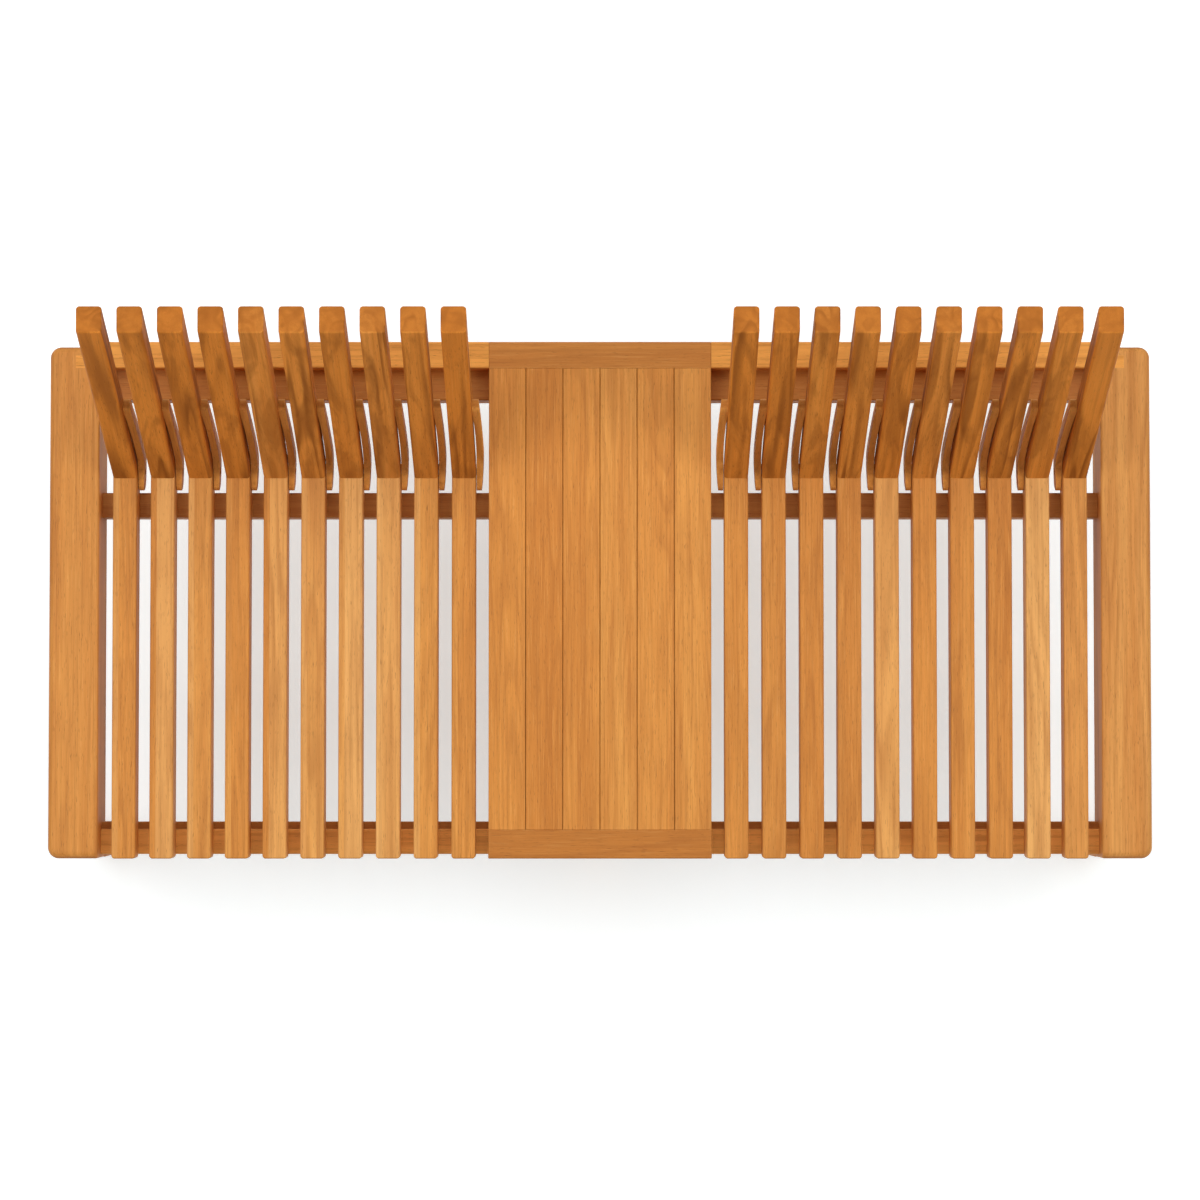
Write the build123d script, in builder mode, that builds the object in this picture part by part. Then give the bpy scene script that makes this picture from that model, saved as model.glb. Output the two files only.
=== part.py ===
"""Convertible slatted bench: a flat slatted platform with a solid centre panel and two reclining backs."""

import os
from math import cos, radians, sin, tan

from build123d import *

os.makedirs("parts", exist_ok=True)

# Driving dimensions in millimetres
length = 1800.0
deck_height = 410.0
seat_depth = 620.0
slat_size = 39.0
slat_pitch = 61.5
slats_per_half = 10
panel_gap = 21.0
plank_count = 6
beam_width = 82.0
beam_depth = 90.0
beam_length = 836.0
back_rise = 411.0
back_lean = radians(25.0)

# Rails: width front to back, and where each lies from the front edge or the beams' rear ends
rail_width = 41.0
front_rail_start = 6.0
seat_rail_start = 558.0
ledger_inset = 14.5
ledger_width = 70.0
rear_rail_overhang = 8.0
rear_rail_width = 43.0
ledge_width = 11.5
ledge_drop = 13.0
ledge_height = 27.0

# Joinery
tenon_length = 24.0
tenon_inset = 9.0
lap_reach = 39.0
lap_width = 20.5
lap_thickness = 18.0
plank_gap = 0.8
tongue_thickness = 6.0
tongue_depth = 5.0
front_board_width = 46.5
leg_width = 76.0
leg_depth = 50.0
leg_tenon = 32.0
leg_tenon_inset = 27.0
cleat_width = 50.0
cleat_thickness = 19.0
cleat_margin = 12.0
cleat_starts = (200.0, 390.0, 610.0)

# Hinge: pin, running clearance, and the knee that carries each back slat on it
pivot_drop = 20.0
pin_radius = 5.0
running_clearance = 0.05
stop_gap = 0.3
lug_arc_middle = radians(-12.5)
knee_standoff = 1.0
knee_bow = 2.5
knee_pad = 24.0
knee_nose_reach = 9.0
knee_bow_reach = 13.0
knee_top_reach = 10.0
knee_width = 22.0
knee_bend = 34.0
knee_nose_ahead = 7.0
knee_nose_drop = 26.0
knee_elbow_behind = 35.0
knee_elbow_drop = 12.0
knee_reach = 185.0
knee_inset = 28.0

# Screws that hold the seat slats down, driven up through the rails
screw_radius = 2.5
screw_head_radius = 5.0
screw_head_height = 4.0
screw_head_recess = 12.0
screw_bite = 22.0

# Edge rounding
slat_round = 3.0
back_round = 5.0
back_end_round = 4.0
slat_corner_round = 5.0
board_round = 3.0
beam_round = 4.0
beam_end_round = 12.0
beam_corner_round = 18.0
plank_chamfer = 1.0
leg_chamfer = 3.0

# Worked out from the driving dimensions
lean_sin = sin(back_lean)
lean_cos = cos(back_lean)
level_depth = slat_size / lean_cos
top_edge_loss = back_end_round * (tan(radians(45.0) + back_lean / 2.0) - 1.0)
overall_depth = seat_depth + back_rise * tan(back_lean) + level_depth - top_edge_loss
front_y = -overall_depth / 2.0
base_y = front_y + seat_depth
rail_top = deck_height - slat_size
beam_bottom = deck_height - beam_depth
rail_height = rail_top - beam_bottom
beam_inner = length / 2.0 - beam_width
ledger_start = beam_length - ledger_inset - ledger_width
rear_rail_start = beam_length + rear_rail_overhang - rear_rail_width
slat_gap = slat_pitch - slat_size
outer_slat = beam_inner - slat_gap - slat_size / 2.0
back_length = back_rise / lean_cos
pivot_y = base_y + pivot_drop * (1.0 - lean_sin) / lean_cos
pivot_z = deck_height - pivot_drop
lug_radius = pivot_drop * lean_cos - (pivot_y - base_y) * lean_sin
sides = (("left", -1), ("right", 1))
slat_places = [outer_slat - slat_pitch * index for index in range(slats_per_half)]
panel_side = slat_places[-1] - slat_size / 2.0 - panel_gap
panel_width = 2.0 * panel_side


def behind_front(distance):
    """Y of a line a given distance behind the front edge."""
    return front_y + distance


def on_back(rise, behind):
    """Point of the leaning back: along the slat from its base, and behind its front face."""
    return (base_y + rise * lean_sin + behind * lean_cos, deck_height + rise * lean_cos - behind * lean_sin)


def near_base(behind, above):
    """Point given level and upright from the line where seat and back meet."""
    return (base_y + behind, deck_height + above)


def write(solid, name):
    """Label a finished piece and write its file."""
    solid.label = name
    export_step(solid, f"parts/{name}.step")


front_rail_y = behind_front(front_rail_start + rail_width / 2.0)
seat_rail_y = behind_front(seat_rail_start + rail_width / 2.0)
ledger_y = behind_front(ledger_start + ledger_width / 2.0)
rear_rail_y = behind_front(rear_rail_start + rear_rail_width / 2.0)
rail_mid_z = (rail_top + beam_bottom) / 2.0
leg_places = (behind_front(leg_depth / 2.0), behind_front(beam_length - leg_depth / 2.0))
screw_places = (front_rail_y, seat_rail_y)
tenon_height = rail_height - 2.0 * tenon_inset
leg_tenon_size = (leg_width - 2.0 * leg_tenon_inset, leg_depth - 2.0 * tenon_inset, leg_tenon)
lap_y = behind_front(rear_rail_start + lap_width / 2.0)
lap_z = deck_height - lap_thickness / 2.0
rails = (
    ("front_rail", front_rail_y, rail_width),
    ("rear_seat_rail", seat_rail_y, rail_width),
    ("ledger", ledger_y, ledger_width),
)

# End beams: wide, round-cornered, mortised for the rails and legs and notched for the rear rail's lap
with BuildPart() as beam:
    with BuildSketch(Plane.XY.offset(beam_bottom)):
        with Locations((beam_inner + beam_width / 2.0, front_y + beam_length / 2.0)):
            Rectangle(beam_width, beam_length)
    extrude(amount=beam_depth)
    fillet(beam.edges().filter_by(Axis.Z).group_by(Axis.X)[-1], beam_corner_round)
    fillet(beam.faces().sort_by(Axis.Z)[-1].edges().sort_by(Axis.Y)[0], beam_end_round)
    fillet(beam.faces().sort_by(Axis.Z)[-1].edges().filter_by(Axis.Y).sort_by(Axis.X)[0], beam_round)
    for name, rail_y, width in rails:
        with Locations((beam_inner + tenon_length / 2.0, rail_y, rail_mid_z)):
            Box(tenon_length, width - 2.0 * tenon_inset, tenon_height, mode=Mode.SUBTRACT)
    for leg_y in leg_places:
        with Locations((beam_inner + leg_width / 2.0, leg_y, beam_bottom + leg_tenon / 2.0)):
            Box(*leg_tenon_size, mode=Mode.SUBTRACT)
    with Locations((beam_inner + lap_reach / 2.0, lap_y, lap_z)):
        Box(lap_reach, lap_width, lap_thickness, mode=Mode.SUBTRACT)

with BuildPart() as left_beam:
    add(beam.part)
    mirror(about=Plane.YZ, mode=Mode.REPLACE)
write(beam.part, "right_end_beam")
write(left_beam.part, "left_end_beam")

# Rails between the end beams, tenoned at both ends and bored for the slat screws
for name, rail_y, width in rails:
    with BuildPart() as rail:
        with Locations((0.0, rail_y, rail_mid_z)):
            Box(2.0 * beam_inner, width, rail_height)
        fillet(rail.edges().filter_by(Axis.X).group_by(Axis.Z)[-1], board_round)
        with Locations((0.0, rail_y, rail_mid_z)):
            Box(2.0 * (beam_inner + tenon_length), width - 2.0 * tenon_inset, tenon_height)
        if rail_y in screw_places:
            for side_name, sign in sides:
                for slat_x in slat_places:
                    with Locations((sign * slat_x, rail_y, rail_mid_z)):
                        Cylinder(screw_radius, rail_height, mode=Mode.SUBTRACT)
                    with Locations((sign * slat_x, rail_y, beam_bottom + screw_head_recess / 2.0)):
                        Cylinder(screw_head_radius, screw_head_recess, mode=Mode.SUBTRACT)
    write(rail.part, name)

# Narrow ledge behind the front rail
with BuildPart() as ledge:
    with Locations((0.0, behind_front(front_rail_start + rail_width + ledge_width / 2.0),
                    rail_top - ledge_drop - ledge_height / 2.0)):
        Box(2.0 * beam_inner, ledge_width, ledge_height)
    chamfer(ledge.edges().filter_by(Axis.X).group_by(Axis.Z)[-1].sort_by(Axis.Y)[-1], plank_chamfer)
write(ledge.part, "front_ledge")

# Rear rails, flush with the platform, each lapped into its end beam
for side_name, sign in sides:
    with BuildPart() as rear_rail:
        with Locations((sign * (panel_side + beam_inner) / 2.0, rear_rail_y, deck_height - slat_size / 2.0)):
            Box(beam_inner - panel_side, rear_rail_width, slat_size)
        fillet(rear_rail.edges().filter_by(Axis.X).group_by(Axis.Z)[-1], board_round)
        with Locations((sign * (beam_inner + lap_reach / 2.0), lap_y, lap_z)):
            Box(lap_reach, lap_width, lap_thickness)
    write(rear_rail.part, f"{side_name}_rear_rail")

# Centre panel: planks between two end boards, grooved for the loose tongues that close their joints
plank_pitch = panel_width / plank_count
plank_start = front_board_width
plank_length = rear_rail_start - plank_start
plank_centre = (0.0, behind_front(plank_start + plank_length / 2.0), deck_height - slat_size / 2.0)
tongue_width = plank_gap + 2.0 * tongue_depth
with BuildPart() as planks:
    with Locations(plank_centre):
        with GridLocations(plank_pitch, 0.0, plank_count, 1):
            Box(plank_pitch - plank_gap, plank_length, slat_size)
    chamfer(planks.faces().group_by(Axis.Z)[-1].edges(), plank_chamfer)
    with Locations(plank_centre):
        with GridLocations(plank_pitch, 0.0, plank_count - 1, 1):
            Box(tongue_width, plank_length, tongue_thickness, mode=Mode.SUBTRACT)
write(planks.part, "panel_planks")

with BuildPart() as tongues:
    with Locations(plank_centre):
        with GridLocations(plank_pitch, 0.0, plank_count - 1, 1):
            Box(tongue_width, plank_length, tongue_thickness)
write(tongues.part, "panel_tongues")

board_places = (
    ("front_end_board", front_board_width, behind_front(front_board_width / 2.0)),
    ("rear_end_board", rear_rail_width, rear_rail_y),
)
for name, width, board_y in board_places:
    with BuildPart() as end_board:
        with Locations((0.0, board_y, deck_height - slat_size / 2.0)):
            Box(panel_width, width, slat_size)
        outer = -1 if board_y > 0.0 else 0
        fillet(end_board.edges().filter_by(Axis.X).group_by(Axis.Z)[-1].sort_by(Axis.Y)[outer], board_round)
        chamfer(end_board.faces().sort_by(Axis.Z)[-1].edges().filter_by(Axis.Y), plank_chamfer)
    write(end_board.part, name)

# Cleats under the planks, between the rails
with BuildPart() as cleats:
    for start in cleat_starts:
        with Locations((0.0, behind_front(start + cleat_width / 2.0), rail_top - cleat_thickness / 2.0)):
            Box(panel_width - 2.0 * cleat_margin, cleat_width, cleat_thickness)
    chamfer(cleats.faces().group_by(Axis.Z)[0].edges(), plank_chamfer)
write(cleats.part, "panel_cleats")

# Corner legs, tenoned into the beams with their inner faces flush
for name, leg_y in zip(("front_legs", "rear_legs"), leg_places):
    with BuildPart() as legs:
        for side_name, sign in sides:
            leg_x = sign * (beam_inner + leg_width / 2.0)
            with Locations((leg_x, leg_y, beam_bottom / 2.0)):
                Box(leg_width, leg_depth, beam_bottom)
        chamfer(legs.faces().group_by(Axis.Z)[0].edges(), leg_chamfer)
        for side_name, sign in sides:
            with Locations((sign * (beam_inner + leg_width / 2.0), leg_y, beam_bottom + leg_tenon / 2.0)):
                Box(*leg_tenon_size)
    write(legs.part, name)

# Centre legs under the front rail and the ledger
with BuildPart() as centre_legs:
    for leg_y in (front_rail_y, ledger_y):
        with Locations((0.0, leg_y, beam_bottom / 2.0)):
            Box(leg_width, rail_width, beam_bottom)
    chamfer(centre_legs.faces().group_by(Axis.Z)[0].edges(), leg_chamfer)
write(centre_legs.part, "centre_legs")

# Seat slat: square bar with a bored lug under the back's base
slanted_end = (pivot_y + lug_radius * lean_sin, pivot_z + lug_radius * lean_cos)
lug_rear = (pivot_y + lug_radius * cos(lug_arc_middle), pivot_z + lug_radius * sin(lug_arc_middle))
lug_bottom = (pivot_y, pivot_z - lug_radius)
with BuildPart() as seat_slat:
    with BuildSketch(Plane.YZ):
        with BuildLine():
            Polyline(lug_bottom, (base_y - lug_radius, rail_top), (front_y, rail_top),
                     (front_y, deck_height), (base_y, deck_height), slanted_end)
            ThreePointArc(slanted_end, lug_rear, lug_bottom)
        make_face()
        with Locations((pivot_y, pivot_z)):
            Circle(pin_radius, mode=Mode.SUBTRACT)
    extrude(amount=slat_size / 2.0, both=True)
    fillet(seat_slat.edges().filter_by(Axis.Z).group_by(Axis.Y)[0], slat_corner_round)
    fillet(seat_slat.faces().sort_by(Axis.Z)[-1].edges().sort_by(Axis.Y)[:-1], slat_round)
    for screw_y in screw_places:
        with Locations((0.0, screw_y, rail_top + screw_bite / 2.0)):
            Cylinder(screw_radius, screw_bite, mode=Mode.SUBTRACT)

# Back slat: square bar leaning back from its base, its top cut level
slat_axis = Axis((0.0, base_y, deck_height), (0.0, lean_sin, lean_cos))
with BuildPart() as back_slat:
    with BuildSketch(Plane.YZ):
        with BuildLine():
            Polyline(on_back(stop_gap, 0.0), on_back(back_length, 0.0),
                     near_base(back_rise * tan(back_lean) + level_depth, back_rise),
                     on_back(stop_gap, slat_size), close=True)
        make_face()
    extrude(amount=slat_size / 2.0, both=True)
    fillet(back_slat.edges().filter_by(slat_axis), back_round)
    fillet(back_slat.faces().sort_by(Axis.Z)[-1].edges(), back_end_round)

# Knee: a bent bar beside each back slat, bored for the hinge pin and bowed clear of the slat below its top
knee_nose = near_base(-knee_nose_ahead, -knee_nose_drop)
knee_elbow = near_base(knee_elbow_behind, -knee_elbow_drop)
knee_top = on_back(knee_reach, knee_inset)
slat_side = -slat_size / 2.0
near_face = slat_side - knee_standoff
nose_face = slat_side - knee_nose_reach
top_face = slat_side - knee_top_reach
nose_tip_y = knee_nose[0] - knee_width / 2.0
bow_start_y = pivot_y + lug_radius
knee_end_y = knee_top[0] + knee_width / 2.0
pad_start_y = knee_end_y - knee_pad
bow_middle_y = (bow_start_y + pad_start_y) / 2.0
near_middle = (slat_side - knee_bow, bow_middle_y)
far_middle = (slat_side - knee_bow_reach, bow_middle_y)
with BuildPart() as knee:
    with BuildSketch(Plane.YZ.offset(slat_side)):
        with BuildLine():
            FilletPolyline(knee_nose, knee_elbow, knee_top, radius=knee_bend)
        trace(line_width=knee_width)
        with Locations(knee_nose, knee_top):
            Circle(knee_width / 2.0)
        with Locations((pivot_y, pivot_z)):
            Circle(pin_radius + running_clearance, mode=Mode.SUBTRACT)
    extrude(amount=-knee_bow_reach)
    with BuildSketch(Plane.XY):
        with BuildLine():
            Polyline((near_face, bow_start_y), (near_face, nose_tip_y), (nose_face, nose_tip_y))
            ThreePointArc((nose_face, nose_tip_y), far_middle, (top_face, knee_end_y))
            Polyline((top_face, knee_end_y), (slat_side, knee_end_y), (slat_side, pad_start_y))
            ThreePointArc((slat_side, pad_start_y), near_middle, (near_face, bow_start_y))
        make_face()
    extrude(amount=deck_height + back_rise, mode=Mode.INTERSECT)

# Hinge pin through the seat slat's lug into the knee
pin_length = slat_size / 2.0 - nose_face
with BuildPart() as pin:
    with Locations((nose_face + pin_length / 2.0, pivot_y, pivot_z)):
        Cylinder(pin_radius, pin_length, rotation=(0.0, 90.0, 0.0))

with BuildPart() as hinge_pins:
    for slat_x in slat_places:
        with Locations((slat_x, 0.0, 0.0)):
            add(pin.part)
    mirror(about=Plane.YZ)
write(hinge_pins.part, "hinge_pins")

# Slats set out on both halves, mirrored so that every knee faces the centre
for side_name, sign in sides:
    with BuildPart() as seat_slats:
        for slat_x in slat_places:
            with Locations((sign * slat_x, 0.0, 0.0)):
                add(seat_slat.part)
    write(seat_slats.part, f"{side_name}_seat_slats")
    for index, slat_x in enumerate(slat_places, start=1):
        with BuildPart() as back_piece:
            with Locations((sign * slat_x, 0.0, 0.0)):
                add(back_slat.part)
        write(back_piece.part, f"{side_name}_back_slat_{index:02d}")
        with BuildPart() as knee_piece:
            with Locations((slat_x, 0.0, 0.0)):
                add(knee.part)
            if sign < 0:
                mirror(about=Plane.YZ, mode=Mode.REPLACE)
        write(knee_piece.part, f"{side_name}_knee_{index:02d}")

# Screws driven up through the front rail and the rear seat rail into every seat slat
screw_length = rail_height - screw_head_recess + screw_bite
screw_base = beam_bottom + screw_head_recess
with BuildPart() as screws:
    for side_name, sign in sides:
        for slat_x in slat_places:
            for screw_y in screw_places:
                with Locations((sign * slat_x, screw_y, screw_base + screw_length / 2.0)):
                    Cylinder(screw_radius, screw_length)
                with Locations((sign * slat_x, screw_y, screw_base - screw_head_height / 2.0)):
                    Cylinder(screw_head_radius, screw_head_height)
write(screws.part, "slat_screws")
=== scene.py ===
"""Looks of the convertible bench: oiled teak, brushed steel, soft studio light and the photo's camera."""

from math import radians

import bpy
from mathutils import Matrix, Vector


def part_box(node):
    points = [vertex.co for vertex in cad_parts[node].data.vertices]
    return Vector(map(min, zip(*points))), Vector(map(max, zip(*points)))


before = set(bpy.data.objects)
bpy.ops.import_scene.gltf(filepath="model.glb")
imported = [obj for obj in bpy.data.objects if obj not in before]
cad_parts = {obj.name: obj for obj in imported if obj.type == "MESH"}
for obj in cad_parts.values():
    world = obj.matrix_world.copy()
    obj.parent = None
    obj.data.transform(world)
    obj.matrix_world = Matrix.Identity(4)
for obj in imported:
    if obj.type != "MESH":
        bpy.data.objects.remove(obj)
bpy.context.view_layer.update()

# Lengths are in metres and angles in radians
BACK_LEAN = radians(25.0)
RIGHT_ANGLE = radians(90.0)

# Cells: the stretch of X that one solid lies in, where many share a node
SLAT_CELL = 0.0615
SLAT_CELL_START = 0.01425
LEG_CELL = 0.6
PLANK_COUNT = 6.0

# Sockets of the mix node by number, because its numbers, vectors and colours share their names
MIX_FACTOR = 0
MIX_FIRST = 6
MIX_SECOND = 7
MIX_RESULT = 2

# Turn that brings a piece's lengthwise direction onto the grain's own X axis
GRAIN_TURNS = {
    "across": (0.0, 0.0, 0.0),
    "deep": (0.0, 0.0, -RIGHT_ANGLE),
    "upright": (0.0, RIGHT_ANGLE, 0.0),
    "leaning": (BACK_LEAN, RIGHT_ANGLE, 0.0),
}

# Seeds: how far apart nodes and cells lie, and how far a seed shifts the grain
NODE_SEED_STEP = 97.0
CELL_SEED_STEP = 7.31
SEED_SHIFT = (31.0, 17.0, 23.0)

# How often each layer of grain repeats in a metre, lengthwise and across
FIGURE_STRETCH = (1.1, 15.0, 15.0)
FADE_STRETCH = (2.2, 22.0, 22.0)
SMOKE_STRETCH = (5.0, 24.0, 24.0)
BAND_STRETCH = (1.3, 34.0, 34.0)
STREAK_STRETCH = (4.0, 190.0, 190.0)
FIBRE_STRETCH = (14.0, 520.0, 520.0)
PORE_STRETCH = (70.0, 1100.0, 1100.0)
EDGE_WEAR_AND_HIGHLIGHT_STRETCH = (40.0, 40.0, 40.0)

# Values over which each layer comes in, from none to full; some come in as the value falls
LATE_RISE = (0.20, 0.80)
LATE_FALL = (1.0, 0.78)
FADE_RANGE = (0.40, 0.66)
SMOKE_RANGE = (0.44, 0.64)
BAND_RANGE = (0.38, 0.70)
STREAK_RANGE = (0.44, 0.70)
PORE_RANGE = (0.64, 0.74)
PALE_FIBRE_RANGE = (0.52, 0.72)
DARK_FIBRE_RANGE = (0.48, 0.28)
END_RANGE = (0.60, 0.95)
EDGE_RANGE = (0.99, 0.80)
EDGE_WEAR_AND_HIGHLIGHT_RANGE = (0.35, 0.65)

# Values of a solid's seed over which its tone turns
HONEY_RANGE = (0.25, 1.0)
RUSSET_RANGE = (0.55, 1.0)
PALE_RANGE = (0.85, 0.95)
SAPWOOD_RANGE = (0.45, 1.0)

# Share by which each layer covers the colour under it
TONE_SHARE = 0.60
BAND_SHARE = 0.60
PALE_FIBRE_SHARE = 0.45
DARK_FIBRE_SHARE = 0.40
STREAK_SHARE = 0.40
PORE_SHARE = 0.50
END_SHARE = 0.64
# Share of the painted edge highlight and wear
EDGE_WEAR_AND_HIGHLIGHT_SHARE = 0.30

# Share of the figure that is left where it fades
FADED_FIGURE = 0.25

# Edges, relief and roughness of oiled teak
EDGE_RADIUS = 0.004
EDGE_SAMPLES = 4
FIBRE_RELIEF = 0.6
LATE_RELIEF = 0.25
PORE_RELIEF = 0.5
GRAIN_BUMP_STRENGTH = 0.35
GRAIN_BUMP_DEPTH = 0.0004
TEAK_ROUGHNESS = 0.42
FIBRE_ROUGHNESS = 0.22
END_ROUGHNESS = 0.12

# Teak colours, linear
PALE = (0.800, 0.400, 0.110, 1.0)
HONEY = (0.760, 0.335, 0.072, 1.0)
GOLD = (0.690, 0.272, 0.050, 1.0)
RUSSET = (0.560, 0.192, 0.030, 1.0)
BROWN = (0.390, 0.125, 0.020, 1.0)
DARK = (0.190, 0.050, 0.007, 1.0)
PORE = (0.150, 0.044, 0.008, 1.0)
SAPWOOD = (0.860, 0.460, 0.150, 1.0)
AMBER = (0.740, 0.230, 0.026, 1.0)
# Paler colour laid over rails and knees to paint in light where they lie in shade
PAINTED_LIGHT_STRAW = (0.900, 0.400, 0.085, 1.0)

# Brushed steel
STEEL = (0.600, 0.595, 0.580, 1.0)
STEEL_DARK = (0.420, 0.415, 0.405, 1.0)
MARK_STRETCH = (2400.0, 160.0, 160.0)
CLOUD_STRETCH = (70.0, 70.0, 70.0)
CLOUD_RANGE = (0.35, 0.70)
MARK_BUMP_STRENGTH = 0.2
MARK_BUMP_DEPTH = 0.0001
STEEL_ROUGHNESS = 0.25
MARK_ROUGHNESS = 0.20

# Camera of the photograph
IMAGE_SIZE = 1200.0
FOCAL_PIXELS = 3441.0
SENSOR_MM = 36.0
CAMERA_PLACE = Vector((0.0, -0.211, 6.02))
CAMERA_TARGET = Vector((0.0, -0.005, 0.41))

# Studio: lamp name, place, width, watts
LAMPS = (
    ("key_left", (-2.5, 0.2, 3.6), 2.2, 54.0),
    ("fill_right", (2.5, 0.2, 3.6), 2.2, 52.0),
    ("rear_top", (0.0, 2.3, 3.6), 2.2, 44.0),
    ("front_low", (0.0, -2.9, 2.6), 2.2, 5.0),
)
LAMP_AIM = Vector((0.0, 0.0, 0.4))
WORLD_STRENGTH = 0.40
FLOOR_HALF = 12.0
FLOOR_COLOUR = (0.835, 0.875, 0.895, 1.0)
FLOOR_GLOW = 0.435
GLOW_COLOUR = (0.94, 1.0, 1.0, 1.0)
WHITE = (1.0, 1.0, 1.0, 1.0)


class Shader:
    """One material's node tree, with short calls to add nodes and join them."""

    def __init__(self, name):
        self.material = bpy.data.materials.new(name)
        self.material.use_nodes = True
        self.tree = self.material.node_tree
        self.tree.nodes.clear()

    def node(self, kind, inputs=None, **settings):
        """Add a node; an input takes a value or another node's output."""
        made = self.tree.nodes.new(kind)
        for key, value in settings.items():
            setattr(made, key, value)
        for key, value in (inputs or {}).items():
            if isinstance(value, bpy.types.NodeSocket):
                self.tree.links.new(value, made.inputs[key])
            else:
                made.inputs[key].default_value = value
        return made

    def math(self, operation, first, second=0.0):
        """Result of a sum on two numbers."""
        return self.node("ShaderNodeMath", {0: first, 1: second}, operation=operation).outputs[0]

    def vector(self, operation, first, second):
        """Result of a sum on two vectors."""
        return self.node("ShaderNodeVectorMath", {0: first, 1: second}, operation=operation).outputs[0]

    def noise(self, coordinates, stretch, detail=3.0, roughness=0.55, distortion=0.0):
        """Noise stretched by a scale for each axis."""
        scaled = self.vector("MULTIPLY", coordinates, stretch)
        made = self.node("ShaderNodeTexNoise", {"Vector": scaled, "Scale": 1.0, "Detail": detail,
                                                "Roughness": roughness, "Distortion": distortion})
        return made.outputs["Fac"]

    def spread(self, value, limits):
        """Value from the first limit to the second brought to 0 to 1, and held there."""
        low, high = limits
        return self.node("ShaderNodeMapRange", {"Value": value, "From Min": low, "From Max": high},
                         interpolation_type="SMOOTHSTEP").outputs["Result"]

    def mix(self, factor, first, second):
        """Two colours mixed by a factor."""
        made = self.node("ShaderNodeMix", {MIX_FACTOR: factor, MIX_FIRST: first, MIX_SECOND: second},
                         data_type="RGBA")
        return made.outputs[MIX_RESULT]

    def cover(self, colour, mask, share, over):
        """Colour covered by another, as far as a mask and a share allow."""
        return self.mix(self.math("MULTIPLY", mask, share), colour, over)

    def bump(self, height, strength, depth):
        """Normal that follows a height."""
        made = self.node("ShaderNodeBump", {"Strength": strength, "Distance": depth, "Height": height})
        return made.outputs[0]

    def surface(self, shader):
        """Join the finished shader to the material's surface."""
        self.node("ShaderNodeOutputMaterial", {"Surface": shader})
        return self.material


def piece_seed(shader, place, cell, cell_start):
    """Random vector, the same all over one solid: by node, and by cell along X where a node holds many."""
    seed = shader.math("MULTIPLY", shader.node("ShaderNodeObjectInfo").outputs["Random"], NODE_SEED_STEP)
    if cell:
        along = shader.node("ShaderNodeSeparateXYZ", {0: place}).outputs["X"]
        step = shader.math("DIVIDE", shader.math("SUBTRACT", along, cell_start), cell)
        seed = shader.math("ADD", seed, shader.math("MULTIPLY", shader.math("FLOOR", step), CELL_SEED_STEP))
    return shader.node("ShaderNodeTexWhiteNoise", {"W": seed}, noise_dimensions="1D").outputs["Color"]


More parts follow.
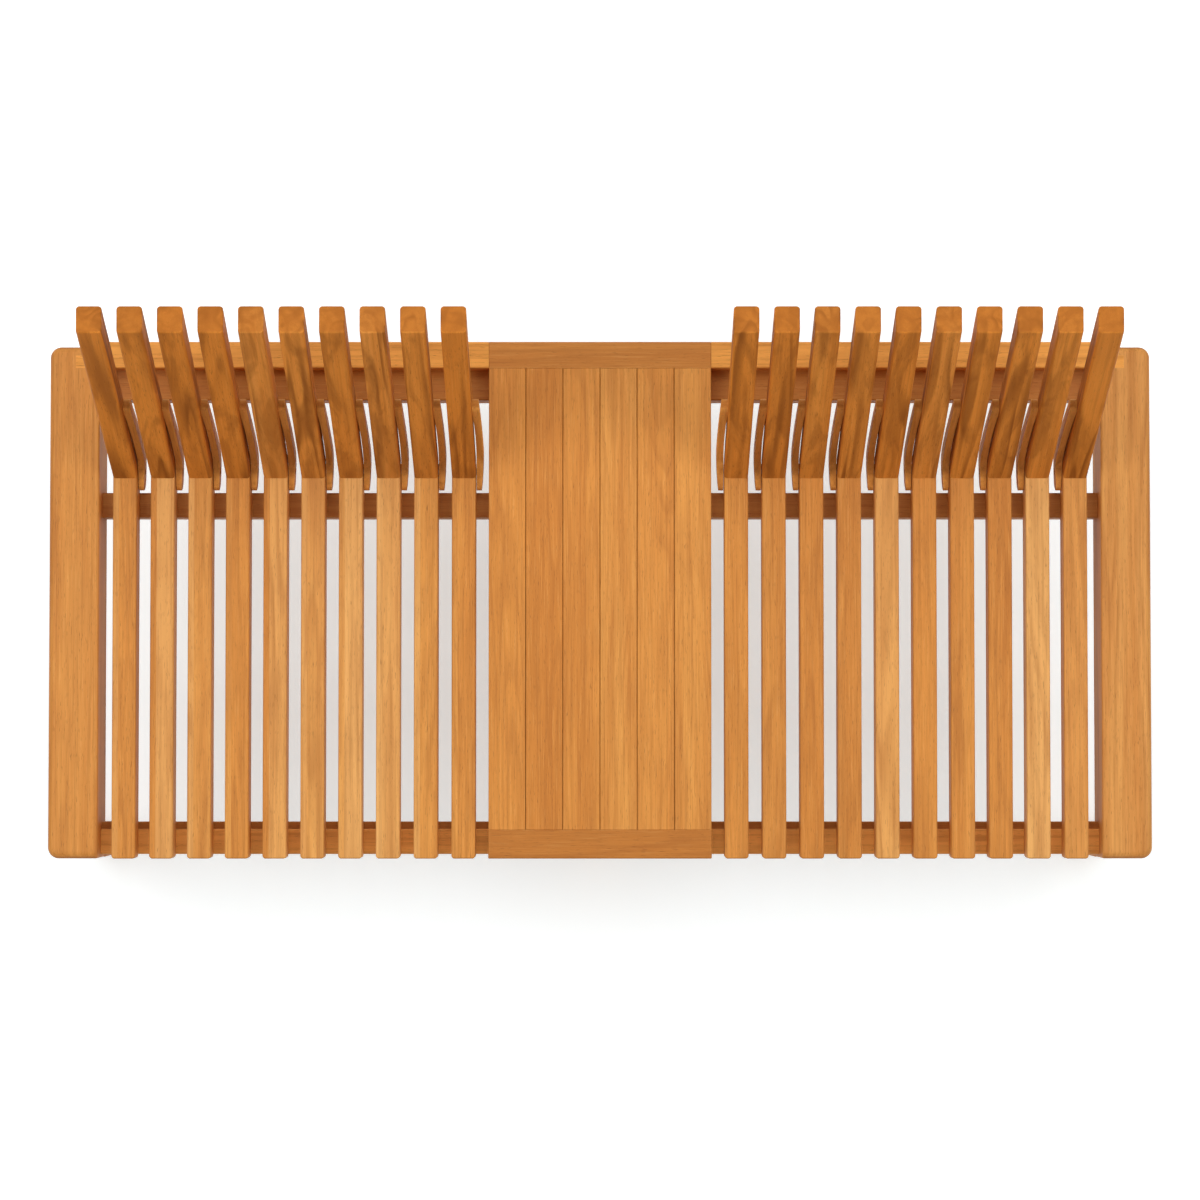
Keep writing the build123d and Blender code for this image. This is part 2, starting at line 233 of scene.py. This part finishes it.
def teak(name, turn, cell=0.0, cell_start=0.0, tone_and_painted_light=None, figure=0.40, ring_count=10.0, late_wood=BROWN,
         smoke=0.08, shine=0.22, sapwood=0.0):
    """Oiled teak, its grain along one direction and new for every solid; a share and a colour laid over the
    grain give a tone shift, on some pieces painted light and on others painted shade.
    """
    shader = Shader(name)
    place = shader.node("ShaderNodeTexCoord").outputs["Object"]
    seed = piece_seed(shader, place, cell, cell_start)
    seed_parts = shader.node("ShaderNodeSeparateXYZ", {0: seed}).outputs
    turned = shader.node("ShaderNodeMapping", {"Vector": place, "Rotation": GRAIN_TURNS[turn]}).outputs[0]
    grain = shader.vector("ADD", turned, shader.vector("MULTIPLY", seed, SEED_SHIFT))

    # Figure: contours of a long, slow noise, dark at the late wood and fading in and out
    slow = shader.noise(grain, FIGURE_STRETCH, detail=2.0, roughness=0.45, distortion=0.35)
    rings = shader.math("FRACT", shader.math("MULTIPLY", slow, ring_count))
    late = shader.math("MULTIPLY", shader.spread(rings, LATE_RISE), shader.spread(rings, LATE_FALL))
    strong = shader.spread(shader.noise(grain, FADE_STRETCH, detail=2.0), FADE_RANGE)
    strength = shader.math("ADD", shader.math("MULTIPLY", strong, 1.0 - FADED_FIGURE), FADED_FIGURE)
    late = shader.math("MULTIPLY", late, strength)

    # Smoky heartwood drifts across the grain
    drift = shader.noise(grain, SMOKE_STRETCH, detail=3.0, roughness=0.6, distortion=1.2)
    smoky = shader.spread(drift, SMOKE_RANGE)

    # Bands, streaks, fibres and pores run along the piece
    bands = shader.spread(shader.noise(grain, BAND_STRETCH, detail=3.0), BAND_RANGE)
    streaks = shader.spread(shader.noise(grain, STREAK_STRETCH, detail=4.0, roughness=0.65), STREAK_RANGE)
    fibres = shader.noise(grain, FIBRE_STRETCH, detail=3.0, roughness=0.7)
    pores = shader.spread(shader.noise(grain, PORE_STRETCH, detail=1.0), PORE_RANGE)

    # Tone of the piece, then the layers from the widest to the finest
    colour = shader.mix(shader.spread(seed_parts["Z"], HONEY_RANGE), GOLD, HONEY)
    colour = shader.cover(colour, shader.spread(seed_parts["Y"], RUSSET_RANGE), TONE_SHARE, RUSSET)
    colour = shader.cover(colour, shader.spread(seed_parts["X"], PALE_RANGE), TONE_SHARE, PALE)
    colour = shader.cover(colour, bands, BAND_SHARE, RUSSET)
    colour = shader.cover(colour, shader.spread(fibres, PALE_FIBRE_RANGE), PALE_FIBRE_SHARE, PALE)
    colour = shader.cover(colour, shader.spread(fibres, DARK_FIBRE_RANGE), DARK_FIBRE_SHARE, BROWN)
    # A share and a colour laid over the grain: a paler colour paints in light on the front rail, rear rails
    # and knees, a darker one paints in shade on the low rails
    if tone_and_painted_light:
        colour = shader.mix(tone_and_painted_light[0], colour, tone_and_painted_light[1])
    if sapwood:
        colour = shader.cover(colour, shader.spread(seed_parts["X"], SAPWOOD_RANGE), sapwood, SAPWOOD)
    colour = shader.cover(colour, late, figure, late_wood)
    colour = shader.cover(colour, smoky, smoke, DARK)
    colour = shader.cover(colour, streaks, STREAK_SHARE, BROWN)
    colour = shader.cover(colour, pores, PORE_SHARE, PORE)

    # End grain drinks more oil and is darker
    normal = shader.node("ShaderNodeTexCoord").outputs["Normal"]
    faced = shader.node("ShaderNodeMapping", {"Vector": normal, "Rotation": GRAIN_TURNS[turn]}).outputs[0]
    endways = shader.math("ABSOLUTE", shader.node("ShaderNodeSeparateXYZ", {0: faced}).outputs["X"])
    end_grain = shader.spread(endways, END_RANGE)
    colour = shader.cover(colour, end_grain, END_SHARE, BROWN)

    # Edges are painted paler: a painted highlight where they catch the light, together with rubbed wear,
    # broken up by noise
    edge = shader.node("ShaderNodeBevel", {"Radius": EDGE_RADIUS}, samples=EDGE_SAMPLES).outputs[0]
    flat = shader.node("ShaderNodeNewGeometry").outputs["True Normal"]
    square = shader.node("ShaderNodeVectorMath", {0: edge, 1: flat}, operation="DOT_PRODUCT").outputs["Value"]
    edge_wear_and_highlight = shader.math("MULTIPLY", shader.spread(square, EDGE_RANGE),
                       shader.spread(shader.noise(place, EDGE_WEAR_AND_HIGHLIGHT_STRETCH), EDGE_WEAR_AND_HIGHLIGHT_RANGE))
    colour = shader.cover(colour, edge_wear_and_highlight, EDGE_WEAR_AND_HIGHLIGHT_SHARE, PALE)

    relief = shader.math("ADD", shader.math("MULTIPLY", fibres, FIBRE_RELIEF),
                         shader.math("MULTIPLY", late, LATE_RELIEF))
    relief = shader.math("SUBTRACT", relief, shader.math("MULTIPLY", pores, PORE_RELIEF))
    bump = shader.bump(relief, GRAIN_BUMP_STRENGTH, GRAIN_BUMP_DEPTH)
    rough = shader.math("ADD", shader.math("MULTIPLY", fibres, FIBRE_ROUGHNESS), TEAK_ROUGHNESS)
    rough = shader.math("ADD", rough, shader.math("MULTIPLY", end_grain, END_ROUGHNESS))
    bsdf = shader.node("ShaderNodeBsdfPrincipled", {"Base Color": colour, "Roughness": rough, "Normal": bump,
                                                    "Specular IOR Level": shine})
    return shader.surface(bsdf.outputs[0])


def brushed_steel():
    """Stainless steel with fine turning marks."""
    shader = Shader("brushed_steel")
    place = shader.node("ShaderNodeTexCoord").outputs["Object"]
    marks = shader.noise(place, MARK_STRETCH, detail=2.0)
    cloud = shader.noise(place, CLOUD_STRETCH)
    colour = shader.mix(shader.spread(cloud, CLOUD_RANGE), STEEL, STEEL_DARK)
    bump = shader.bump(marks, MARK_BUMP_STRENGTH, MARK_BUMP_DEPTH)
    rough = shader.math("ADD", shader.math("MULTIPLY", marks, MARK_ROUGHNESS), STEEL_ROUGHNESS)
    bsdf = shader.node("ShaderNodeBsdfPrincipled", {"Base Color": colour, "Roughness": rough, "Normal": bump,
                                                    "Metallic": 1.0})
    return shader.surface(bsdf.outputs[0])


def dress(names, material):
    """Give nodes a material in every slot."""
    for name in names:
        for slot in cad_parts[name].material_slots:
            slot.material = material


def dress_bench():
    """Materials for every node, by the way its grain runs."""
    back_slats = [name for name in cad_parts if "back_slat" in name]
    knees = [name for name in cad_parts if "knee" in name]
    plank_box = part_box("panel_planks")
    plank_cell = (plank_box[1][0] - plank_box[0][0]) / PLANK_COUNT
    dress(["left_end_beam", "right_end_beam"], teak("teak_beam", "deep"))
    # Painted light: the front rail and rear rails are made paler to stand in for light that does not reach
    # them in the slats' shade
    dress(["front_rail"], teak("teak_front_rail_painted_light", "across", tone_and_painted_light=(0.95, PAINTED_LIGHT_STRAW), figure=0.30))
    dress(["left_rear_rail", "right_rear_rail"],
          teak("teak_rear_rail_painted_light", "across", tone_and_painted_light=(0.75, PAINTED_LIGHT_STRAW), shine=0.12))
    dress(["front_end_board", "rear_end_board", "panel_cleats"],
          teak("teak_end_board", "across", tone_and_painted_light=(0.22, DARK)))
    # Painted shade: the front ledge, rear seat rail and ledger are darkened where they lie in the shade of
    # the slats and rails
    dress(["front_ledge", "rear_seat_rail", "ledger"], teak("teak_low_rail_painted_shade", "across", tone_and_painted_light=(0.34, DARK)))
    dress(["panel_tongues"], teak("teak_tongue", "deep", plank_cell, plank_cell / 2.0, tone_and_painted_light=(0.45, DARK)))
    dress(["panel_planks"], teak("teak_plank", "deep", plank_cell, figure=0.30, ring_count=13.0))
    dress(["left_seat_slats", "right_seat_slats"],
          teak("teak_seat_slat", "deep", SLAT_CELL, SLAT_CELL_START, smoke=0.14, sapwood=0.60))
    dress(["front_legs", "rear_legs", "centre_legs"], teak("teak_leg", "upright", LEG_CELL, LEG_CELL / 2.0))
    dress(back_slats, teak("teak_back_slat", "leaning", tone_and_painted_light=(0.50, AMBER), figure=0.72, ring_count=8.0,
                           late_wood=DARK, smoke=0.40, shine=0.05))
    # Painted light: the knees are made paler to stand in for the light from behind on their upper part
    dress(knees, teak("teak_knee_painted_light", "leaning", tone_and_painted_light=(0.75, PAINTED_LIGHT_STRAW), shine=0.10))
    dress(["hinge_pins", "slat_screws"], brushed_steel())


def lay_floor():
    """Plain pale floor that keeps the shadow and looks nearly white to the camera."""
    shader = Shader("studio_floor")
    ray = shader.node("ShaderNodeLightPath")
    seen = shader.math("MAXIMUM", ray.outputs["Is Camera Ray"], ray.outputs["Is Glossy Ray"])
    seen = shader.math("MAXIMUM", seen, ray.outputs["Is Transmission Ray"])
    glow = shader.node("ShaderNodeEmission", {"Color": GLOW_COLOUR,
                                              "Strength": shader.math("MULTIPLY", seen, FLOOR_GLOW)})
    matt = shader.node("ShaderNodeBsdfDiffuse", {"Color": FLOOR_COLOUR})
    both = shader.node("ShaderNodeAddShader", {0: matt.outputs[0], 1: glow.outputs[0]})
    mesh = bpy.data.meshes.new("studio_floor")
    corners = [(x * FLOOR_HALF, y * FLOOR_HALF, 0.0) for x, y in ((-1, -1), (1, -1), (1, 1), (-1, 1))]
    mesh.from_pydata(corners, [], [(0, 1, 2, 3)])
    mesh.materials.append(shader.surface(both.outputs[0]))
    floor = bpy.data.objects.new("studio_floor", mesh)
    bpy.context.scene.collection.objects.link(floor)


def light_studio():
    """Soft lamps round the bench, clear of the camera's view, and an even white surround."""
    for name, place, width, watts in LAMPS:
        lamp = bpy.data.lights.new(name, "AREA")
        lamp.size = width
        lamp.energy = watts
        holder = bpy.data.objects.new(name, lamp)
        holder.location = place
        holder.rotation_euler = (LAMP_AIM - Vector(place)).to_track_quat("-Z", "Y").to_euler()
        bpy.context.scene.collection.objects.link(holder)
    world = bpy.data.worlds.new("studio")
    world.use_nodes = True
    surround = world.node_tree.nodes["Background"]
    surround.inputs["Color"].default_value = WHITE
    surround.inputs["Strength"].default_value = WORLD_STRENGTH
    bpy.context.scene.world = world


def set_camera():
    """Camera almost straight above the bench, the picture's upper edge towards the rear."""
    lens = bpy.data.cameras.new("photo_camera")
    lens.sensor_width = SENSOR_MM
    lens.lens = FOCAL_PIXELS * SENSOR_MM / IMAGE_SIZE
    camera = bpy.data.objects.new("photo_camera", lens)
    camera.location = CAMERA_PLACE
    camera.rotation_euler = (CAMERA_TARGET - CAMERA_PLACE).to_track_quat("-Z", "Y").to_euler()
    bpy.context.scene.collection.objects.link(camera)
    bpy.context.scene.camera = camera


dress_bench()
lay_floor()
light_studio()
set_camera()
bpy.context.scene.view_settings.view_transform = "Standard"
